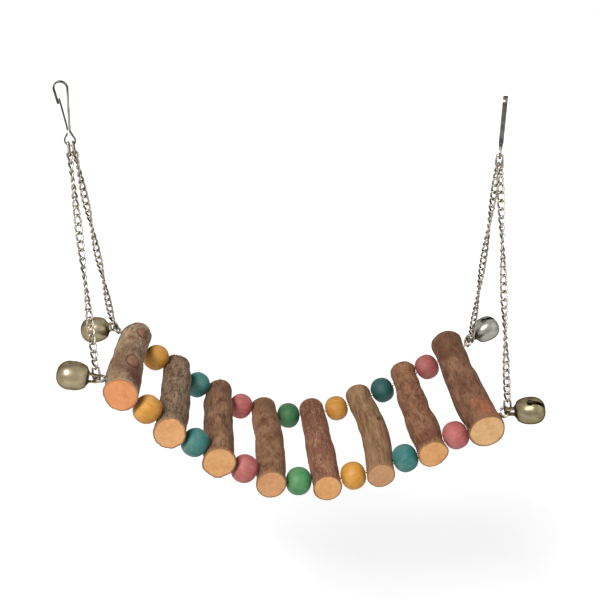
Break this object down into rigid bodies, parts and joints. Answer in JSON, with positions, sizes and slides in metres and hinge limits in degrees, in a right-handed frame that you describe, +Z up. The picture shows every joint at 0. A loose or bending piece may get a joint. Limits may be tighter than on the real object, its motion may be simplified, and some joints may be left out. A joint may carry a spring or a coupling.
{
  "type": "hanging bird ladder",
  "caption": "Hanging cage ladder of bark-covered branch rungs and dyed wooden beads on two bent wires, lifted by chains to snap hooks, with a jingle bell at each corner.",
  "frame": {"origin": "midway between the two points where the hooks bear on the cage bar", "axes": "+Z up, +X along the ladder from its left hook to its right one, +Y along the rungs away from the viewer"},
  "size_m": [0.241, 0.091, 0.2111],
  "materials": {
    "branch_wood": "natural bark with bare sawn ends",
    "bead_yellow": "dyed, matte",
    "bead_teal": "dyed, matte",
    "bead_red": "dyed, matte",
    "bead_green": "dyed, matte",
    "steel_wire": "bright drawn wire",
    "chain_steel": "nickel plated",
    "bell_brass": "dull nickel over brass",
    "pellet_steel": "plain"
  },
  "bodies": {
    "hooks": {"left_clip": "steel_wire", "right_clip": "steel_wire"},
    "left_gate": {"left_clip_gate": "steel_wire"},
    "right_gate": {"right_clip_gate": "steel_wire"},
    "top_links": {"left_front_top_link": "chain_steel", "left_rear_top_link": "chain_steel", "right_front_top_link": "chain_steel", "right_rear_top_link": "chain_steel"},
    "left_front_chain": {"left_front_chain": "chain_steel"},
    "left_rear_chain": {"left_rear_chain": "chain_steel"},
    "right_front_chain": {"right_front_chain": "chain_steel"},
    "right_rear_chain": {"right_rear_chain": "chain_steel"},
    "deck": {"front_wire": "steel_wire", "rear_wire": "steel_wire", "rung_1": "branch_wood", "rung_2": "branch_wood", "rung_3": "branch_wood", "rung_4": "branch_wood", "rung_5": "branch_wood", "rung_6": "branch_wood", "rung_7": "branch_wood", "rung_8": "branch_wood"},
    "bead_1_front": {"bead_1_front": "bead_yellow"},
    "bead_1_rear": {"bead_1_rear": "bead_yellow"},
    "bead_2_front": {"bead_2_front": "bead_teal"},
    "bead_2_rear": {"bead_2_rear": "bead_teal"},
    "bead_3_front": {"bead_3_front": "bead_red"},
    "bead_3_rear": {"bead_3_rear": "bead_red"},
    "bead_4_front": {"bead_4_front": "bead_green"},
    "bead_4_rear": {"bead_4_rear": "bead_green"},
    "bead_5_front": {"bead_5_front": "bead_yellow"},
    "bead_5_rear": {"bead_5_rear": "bead_yellow"},
    "bead_6_front": {"bead_6_front": "bead_teal"},
    "bead_6_rear": {"bead_6_rear": "bead_teal"},
    "bead_7_front": {"bead_7_front": "bead_red"},
    "bead_7_rear": {"bead_7_rear": "bead_red"},
    "left_front_bell": {"left_front_bell": "bell_brass"},
    "left_front_bell_pellet": {"left_front_bell_pellet": "pellet_steel"},
    "left_rear_bell": {"left_rear_bell": "bell_brass"},
    "left_rear_bell_pellet": {"left_rear_bell_pellet": "pellet_steel"},
    "right_front_bell": {"right_front_bell": "bell_brass"},
    "right_front_bell_pellet": {"right_front_bell_pellet": "pellet_steel"},
    "right_rear_bell": {"right_rear_bell": "bell_brass"},
    "right_rear_bell_pellet": {"right_rear_bell_pellet": "pellet_steel"}
  },
  "joints": [
    {"name": "left_gate_hinge", "type": "hinge", "parent": "hooks", "child": "left_gate", "pos_m": [-0.10028, 0.0021, -0.0178], "axis": [0, 1, 0], "range_deg": [0, 12], "stiffness_Nm_per_rad": 0.05},
    {"name": "right_gate_hinge", "type": "hinge", "parent": "hooks", "child": "right_gate", "pos_m": [0.1019, -0.00309, -0.02301], "axis": [-0.9455, 0.3238, -0.034], "range_deg": [0, 12], "stiffness_Nm_per_rad": 0.05},
    {"name": "swing", "type": "hinge", "parent": "hooks", "child": "top_links", "pos_m": [-0.0996, 0.0021, -0.0262], "axis": [0.9996, -0.0256, -0.0141], "range_deg": [-30, 30]},
    {"name": "left_rear_chain_sway", "type": "hinge", "parent": "top_links", "child": "left_rear_chain", "pos_m": [-0.09812, 0.00313, -0.02989], "axis": [0, 1, 0], "range_deg": [-8, 8]},
    {"name": "deck_sway", "type": "hinge", "parent": "left_rear_chain", "child": "deck", "pos_m": [-0.09084, 0.03272, -0.13822], "axis": [0, 1, 0], "range_deg": [-8.5, 8.5]},
    {"name": "left_front_chain_sway", "type": "hinge", "parent": "top_links", "child": "left_front_chain", "pos_m": [-0.10018, 0.00081, -0.02996], "axis": [0, 1, 0], "range_deg": [-9, 9]},
    {"name": "right_front_chain_sway", "type": "hinge", "parent": "top_links", "child": "right_front_chain", "pos_m": [0.10226, -0.00497, -0.03526], "axis": [0, 1, 0], "range_deg": [-7.5, 7.5]},
    {"name": "right_rear_chain_sway", "type": "hinge", "parent": "top_links", "child": "right_rear_chain", "pos_m": [0.10285, -0.00094, -0.03515], "axis": [0, 1, 0], "range_deg": [-7.8, 7.8]},
    {"name": "bead_1_front_spin", "type": "hinge", "parent": "deck", "child": "bead_1_front", "pos_m": [-0.06906, -0.03403, -0.14826], "axis": [0.7177, -0.0043, -0.6963], "continuous": true},
    {"name": "bead_1_rear_spin", "type": "hinge", "parent": "deck", "child": "bead_1_rear", "pos_m": [-0.06906, 0.03223, -0.15816], "axis": [0.747, 0.0045, -0.6649], "continuous": true},
    {"name": "bead_2_front_spin", "type": "hinge", "parent": "deck", "child": "bead_2_front", "pos_m": [-0.04645, -0.03415, -0.169], "axis": [0.7647, -0.0035, -0.6444], "continuous": true},
    {"name": "bead_2_rear_spin", "type": "hinge", "parent": "deck", "child": "bead_2_rear", "pos_m": [-0.04645, 0.03235, -0.17712], "axis": [0.7934, 0.0037, -0.6086], "continuous": true},
    {"name": "bead_3_front_spin", "type": "hinge", "parent": "deck", "child": "bead_3_front", "pos_m": [-0.02166, -0.03425, -0.18651], "axis": [0.8778, -0.0028, -0.4791], "continuous": true},
    {"name": "bead_3_rear_spin", "type": "hinge", "parent": "deck", "child": "bead_3_rear", "pos_m": [-0.02166, 0.03245, -0.19288], "axis": [0.9017, 0.0029, -0.4323], "continuous": true},
    {"name": "bead_4_front_spin", "type": "hinge", "parent": "deck", "child": "bead_4_front", "pos_m": [0.0066, -0.03432, -0.1959], "axis": [0.993, -0.002, -0.1179], "continuous": true},
    {"name": "bead_4_rear_spin", "type": "hinge", "parent": "deck", "child": "bead_4_rear", "pos_m": [0.0066, 0.03252, -0.20051], "axis": [0.9982, 0.002, -0.0592], "continuous": true},
    {"name": "bead_5_front_spin", "type": "hinge", "parent": "deck", "child": "bead_5_front", "pos_m": [0.03536, -0.03437, -0.19365], "axis": [0.9686, -0.0013, 0.2488], "continuous": true},
    {"name": "bead_5_rear_spin", "type": "hinge", "parent": "deck", "child": "bead_5_rear", "pos_m": [0.03536, 0.03257, -0.19654], "axis": [0.9528, 0.0013, 0.3035], "continuous": true},
    {"name": "bead_6_front_spin", "type": "hinge", "parent": "deck", "child": "bead_6_front", "pos_m": [0.06223, -0.0344, -0.18347], "axis": [0.9028, -0.0005, 0.4301], "continuous": true},
    {"name": "bead_6_rear_spin", "type": "hinge", "parent": "deck", "child": "bead_6_rear", "pos_m": [0.06223, 0.03259, -0.18463], "axis": [0.8788, 0.0005, 0.4772], "continuous": true},
    {"name": "bead_7_front_spin", "type": "hinge", "parent": "deck", "child": "bead_7_front", "pos_m": [0.08777, -0.0344, -0.16998], "axis": [0.8708, 0.0003, 0.4916], "continuous": true},
    {"name": "bead_7_rear_spin", "type": "hinge", "parent": "deck", "child": "bead_7_rear", "pos_m": [0.08777, 0.0326, -0.1694], "axis": [0.8447, -0.0003, 0.5353], "continuous": true},
    {"name": "left_front_bell_tilt", "type": "hinge", "parent": "deck", "child": "left_front_bell", "pos_m": [-0.09221, -0.03457, -0.1295], "axis": [0, 0.9855, -0.1695], "range_deg": [-40, 12]},
    {"name": "left_front_bell_rattle", "type": "slide", "parent": "left_front_bell", "child": "left_front_bell_pellet", "axis": [-0.9764, -0.0341, 0.2134], "range_m": [-0.0012, 0.0018]},
    {"name": "left_rear_bell_tilt", "type": "hinge", "parent": "deck", "child": "left_rear_bell", "pos_m": [-0.09084, 0.03351, -0.13836], "axis": [0, 0.9855, -0.1695], "range_deg": [-30, 25]},
    {"name": "left_rear_bell_rattle", "type": "slide", "parent": "left_rear_bell", "child": "left_rear_bell_pellet", "axis": [-0.9899, -0.0576, -0.1292], "range_m": [-0.0012, 0.0018]},
    {"name": "right_front_bell_tilt", "type": "hinge", "parent": "deck", "child": "right_front_bell", "pos_m": [0.11317, -0.03615, -0.15512], "axis": [0.1473, 0.9815, 0.1222], "range_deg": [-8, 35]},
    {"name": "right_front_bell_rattle", "type": "slide", "parent": "right_front_bell", "child": "right_front_bell_pellet", "axis": [0.9204, -0.3096, 0.2387], "range_m": [-0.0012, 0.0018]},
    {"name": "right_rear_bell_tilt", "type": "hinge", "parent": "deck", "child": "right_rear_bell", "pos_m": [0.11138, 0.03324, -0.15104], "axis": [0, 0.9995, 0.0307], "range_deg": [-15, 40]},
    {"name": "right_rear_bell_rattle", "type": "slide", "parent": "right_rear_bell", "child": "right_rear_bell_pellet", "axis": [0.8744, 0.1249, 0.4688], "range_m": [-0.0012, 0.0018]}
  ],
  "couplings": [
    {"joint": "deck_sway", "follows": "left_rear_chain_sway", "ratio": -0.99157},
    {"joint": "left_front_chain_sway", "follows": "left_rear_chain_sway", "ratio": 1.0862},
    {"joint": "right_front_chain_sway", "follows": "left_rear_chain_sway", "ratio": 0.90576},
    {"joint": "right_rear_chain_sway", "follows": "left_rear_chain_sway", "ratio": 0.93557}
  ]
}
